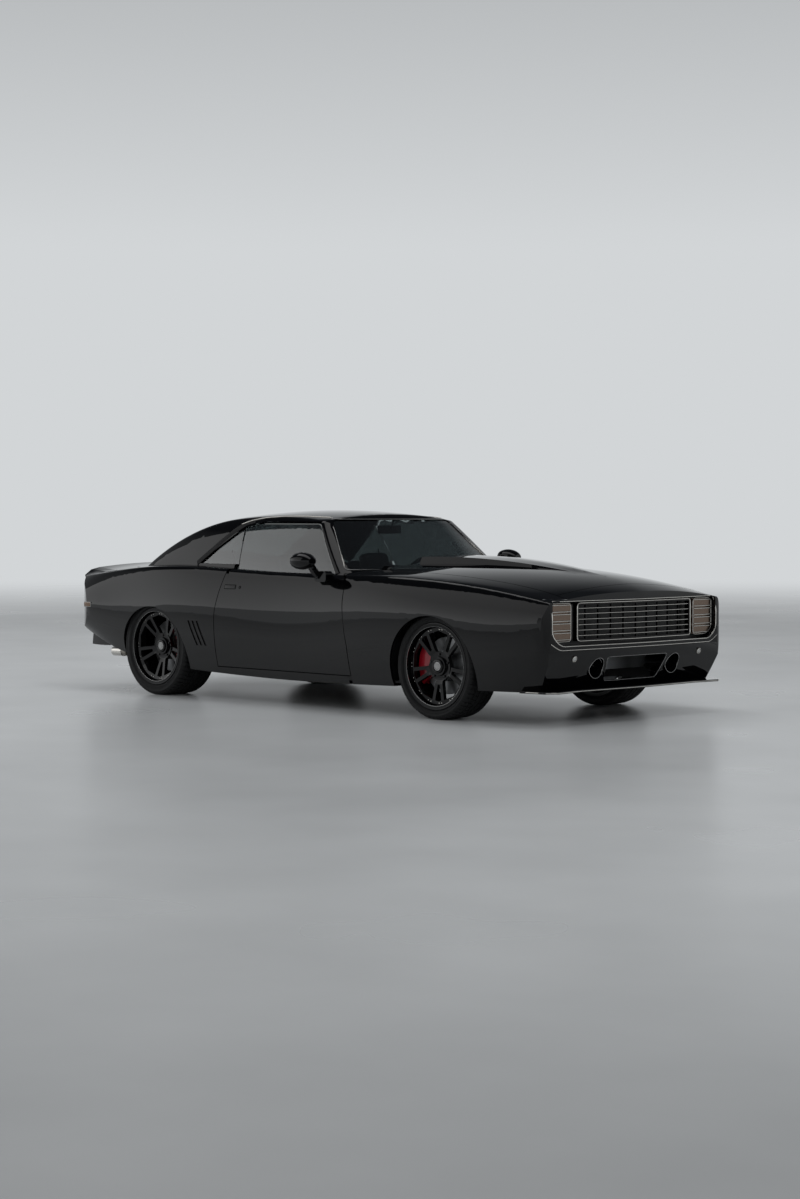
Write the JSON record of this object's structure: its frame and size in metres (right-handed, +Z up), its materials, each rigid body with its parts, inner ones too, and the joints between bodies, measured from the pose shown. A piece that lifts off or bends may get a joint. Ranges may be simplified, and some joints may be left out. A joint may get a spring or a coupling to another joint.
{
  "type": "muscle car",
  "caption": "Two-door hardtop coupe with a long hood, ducktail, wide grille, flat splitter and low tyres on large twin-spoke wheels.",
  "frame": {"origin": "on the floor under the middle of the car's overall length, on its centre plane", "axes": "+X towards the nose, +Y to the car's left side, +Z up"},
  "size_m": [4.724, 2.1222, 1.3008],
  "materials": {
    "body_paint": "gloss",
    "satin_black_steel": "satin",
    "black_plastic": "satin",
    "dark_bright_metal": "polished",
    "lamp_cover": "gloss",
    "red_lamp": "gloss",
    "tinted_glass": "gloss",
    "black_leather": "satin",
    "painted_iron": "satin",
    "cast_aluminium": "satin",
    "exhaust_steel": "brushed",
    "forged_steel": "satin",
    "brake_iron": "machined",
    "tyre_rubber": "matte",
    "black_wheel": "gloss"
  },
  "bodies": {
    "body": {"body_shell": "body_paint", "rear_wheel_tubs": "satin_black_steel", "front_fenders": "body_paint", "inner_fenders": "satin_black_steel", "header_panel": "body_paint", "grille_surround": "body_paint", "grille_panel": "black_plastic", "grille": "dark_bright_metal", "headlamp_covers": "lamp_cover", "front_valance": "body_paint", "front_splitter": "black_plastic", "tail_panel": "body_paint", "tail_lamps": "red_lamp", "rear_bumper": "body_paint", "rear_valance": "satin_black_steel", "quarter_windows": "tinted_glass", "windscreen": "tinted_glass", "rear_window": "tinted_glass", "floor_pan": "satin_black_steel", "firewall": "satin_black_steel", "rear_bulkhead": "satin_black_steel", "dashboard": "black_plastic", "front_seats": "black_leather", "rear_seat": "black_leather", "console": "black_plastic", "engine_block": "painted_iron", "gearbox": "cast_aluminium", "propeller_shaft": "satin_black_steel", "rear_axle": "satin_black_steel", "fuel_tank": "satin_black_steel", "exhaust": "exhaust_steel", "radiator": "cast_aluminium", "front_subframe": "satin_black_steel", "rear_calipers": "forged_steel"},
    "door_left": {"door_left": "body_paint", "door_glass_left": "tinted_glass", "mirror_left": "body_paint"},
    "knuckle_left": {"knuckle_left": "forged_steel"},
    "door_right": {"door_right": "body_paint", "door_glass_right": "tinted_glass", "mirror_right": "body_paint"},
    "knuckle_right": {"knuckle_right": "forged_steel"},
    "hood": {"hood": "body_paint"},
    "trunk_lid": {"trunk_lid": "body_paint"},
    "steering_wheel": {"steering_wheel": "black_leather"},
    "wheel_front_left": {"tyre_front_left": "tyre_rubber", "rim_front_left": "black_wheel", "brake_disc_front_left": "brake_iron"},
    "wheel_front_right": {"tyre_front_right": "tyre_rubber", "rim_front_right": "black_wheel", "brake_disc_front_right": "brake_iron"},
    "wheel_rear_left": {"tyre_rear_left": "tyre_rubber", "rim_rear_left": "black_wheel", "brake_disc_rear_left": "brake_iron"},
    "wheel_rear_right": {"tyre_rear_right": "tyre_rubber", "rim_rear_right": "black_wheel", "brake_disc_rear_right": "brake_iron"}
  },
  "joints": [
    {"name": "door_left_hinge", "type": "hinge", "parent": "body", "child": "door_left", "pos_m": [0.56, 0.862, 0.5], "axis": [0, 0, -1], "range_deg": [0, 60]},
    {"name": "door_right_hinge", "type": "hinge", "parent": "body", "child": "door_right", "pos_m": [0.56, -0.862, 0.5], "axis": [0, 0, 1], "range_deg": [0, 60]},
    {"name": "hood_hinge", "type": "hinge", "parent": "body", "child": "hood", "pos_m": [0.64, 0, 0.89], "axis": [0, -1, 0], "range_deg": [0, 50]},
    {"name": "trunk_lid_hinge", "type": "hinge", "parent": "body", "child": "trunk_lid", "pos_m": [-1.6, 0, 0.85], "axis": [0, 1, 0], "range_deg": [0, 55]},
    {"name": "knuckle_right_steer", "type": "hinge", "parent": "body", "child": "knuckle_right", "pos_m": [1.425, -0.715, 0.33], "axis": [0, 0, 1], "range_deg": [-30, 30]},
    {"name": "knuckle_left_steer", "type": "hinge", "parent": "body", "child": "knuckle_left", "pos_m": [1.425, 0.715, 0.33], "axis": [0, 0, 1], "range_deg": [-30, 30]},
    {"name": "steering_wheel_turn", "type": "hinge", "parent": "body", "child": "steering_wheel", "pos_m": [0.06, 0.37, 0.805], "axis": [-0.9272, 0, 0.3746], "range_deg": [-420, 420]},
    {"name": "wheel_front_left_spin", "type": "hinge", "parent": "knuckle_left", "child": "wheel_front_left", "pos_m": [1.425, 0.76, 0.33], "axis": [0, 1, 0], "continuous": true},
    {"name": "wheel_front_right_spin", "type": "hinge", "parent": "knuckle_right", "child": "wheel_front_right", "pos_m": [1.425, -0.76, 0.33], "axis": [0, 1, 0], "continuous": true},
    {"name": "wheel_rear_left_spin", "type": "hinge", "parent": "body", "child": "wheel_rear_left", "pos_m": [-1.318, 0.75, 0.343], "axis": [0, 1, 0], "continuous": true},
    {"name": "wheel_rear_right_spin", "type": "hinge", "parent": "body", "child": "wheel_rear_right", "pos_m": [-1.318, -0.75, 0.343], "axis": [0, 1, 0], "continuous": true}
  ],
  "couplings": [
    {"joint": "knuckle_left_steer", "follows": "knuckle_right_steer", "ratio": 1},
    {"joint": "steering_wheel_turn", "follows": "knuckle_right_steer", "ratio": 14}
  ]
}
